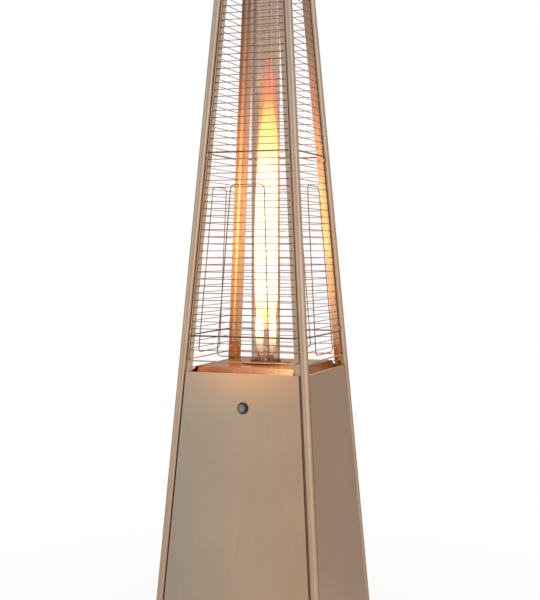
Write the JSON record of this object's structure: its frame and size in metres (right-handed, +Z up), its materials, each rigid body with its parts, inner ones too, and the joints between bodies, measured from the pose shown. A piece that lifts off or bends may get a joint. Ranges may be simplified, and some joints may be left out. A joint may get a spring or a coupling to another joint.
{
  "type": "pyramid patio heater",
  "caption": "Free-standing square pyramid gas patio heater: four leaning posts, brushed panels with a door, wire guards round a glass flame tube, and a reflector hood.",
  "frame": {"origin": "centre of the base at floor level", "axes": "+Z up along the tower's axis, front with the control knob and door towards -Y, +X to the right seen from the front"},
  "size_m": [0.61, 0.61, 2.2744],
  "materials": {
    "post_steel": "brushed, warm champagne tint",
    "panel_steel": "brushed along the face, warm tint",
    "deck_steel": "brushed, heat-tinted",
    "wire_steel": "drawn wire",
    "hood_steel": "brushed",
    "tray_steel": "brushed",
    "plated_steel": "zinc plated",
    "black_bracket": "black, satin",
    "glass": "clear borosilicate",
    "rubber": "matt black",
    "seal": "black silicone",
    "tyre": "moulded",
    "wheel_plastic": "moulded",
    "knob_metal": "satin grey",
    "bezel_plastic": "dark, satin",
    "brass": "machined",
    "valve_alloy": "die cast",
    "magnet": "ferrite block",
    "switch_plastic": "moulded",
    "ceramic": "glazed",
    "copper": "bare tube",
    "burner_steel": "heat-darkened"
  },
  "bodies": {
    "tower": {"axle_caps": "wheel_plastic", "back_panel": "panel_steel", "base_tray": "tray_steel", "bracket_screws": "plated_steel", "burner_cup": "burner_steel", "burner_deck": "deck_steel", "burner_head": "burner_steel", "cylinder_ring": "tray_steel", "deck_bracket_back_left": "black_bracket", "deck_bracket_back_right": "black_bracket", "deck_bracket_front_left": "black_bracket", "deck_bracket_front_right": "black_bracket", "door_magnets": "magnet", "foot_bolts": "plated_steel", "foot_brackets": "black_bracket", "gas_pipe": "plated_steel", "glass_tube": "glass", "guard_back": "wire_steel", "guard_clips": "plated_steel", "guard_front": "wire_steel", "guard_left": "wire_steel", "guard_right": "wire_steel", "guard_screws": "plated_steel", "hood_standoffs": "plated_steel", "hood_studs": "plated_steel", "hose_inlet": "brass", "left_panel": "panel_steel", "lower_hinge_pin": "plated_steel", "lower_reflector": "hood_steel", "panel_screws": "plated_steel", "pilot_burner": "brass", "post_back_left": "post_steel", "post_back_right": "post_steel", "post_front_left": "post_steel", "post_front_right": "post_steel", "right_panel": "panel_steel", "rubber_feet": "rubber", "seat_gasket": "seal", "spark_electrode": "ceramic", "thermocouple": "copper", "tilt_switch": "switch_plastic", "top_brackets": "black_bracket", "top_plate": "deck_steel", "tube_collar": "deck_steel", "tube_seat": "deck_steel", "upper_hinge_pin": "plated_steel", "upper_reflector": "hood_steel", "valve_body": "valve_alloy", "valve_plate": "plated_steel", "wheel_axle": "plated_steel", "wheel_yokes": "plated_steel"},
    "door": {"front_door": "panel_steel", "knob_bezel": "bezel_plastic"},
    "gas_plug": {"valve_plug": "brass"},
    "knob": {"valve_stem": "plated_steel", "control_knob": "knob_metal"},
    "left_wheel": {"wheel_left": "wheel_plastic", "tyre_left": "tyre"},
    "right_wheel": {"wheel_right": "wheel_plastic", "tyre_right": "tyre"}
  },
  "joints": [
    {"name": "door_hinge", "type": "hinge", "parent": "tower", "child": "door", "pos_m": [-0.2294, -0.25414, 0.05837], "axis": [-0.0718, -0.0718, -0.9948], "range_deg": [0, 105]},
    {"name": "knob_turn", "type": "hinge", "parent": "tower", "child": "gas_plug", "pos_m": [0.008, -0.2205, 0.73144], "axis": [0, -0.9974, 0.072], "range_deg": [0, 180]},
    {"name": "knob_push", "type": "slide", "parent": "gas_plug", "child": "knob", "axis": [0, 0.9974, -0.072], "range_m": [0, 0.003], "stiffness_N_per_m": 1500},
    {"name": "left_wheel_roll", "type": "hinge", "parent": "tower", "child": "left_wheel", "pos_m": [-0.18, 0.275, 0.031], "axis": [1, 0, 0], "continuous": true},
    {"name": "right_wheel_roll", "type": "hinge", "parent": "tower", "child": "right_wheel", "pos_m": [0.18, 0.275, 0.031], "axis": [1, 0, 0], "continuous": true}
  ]
}
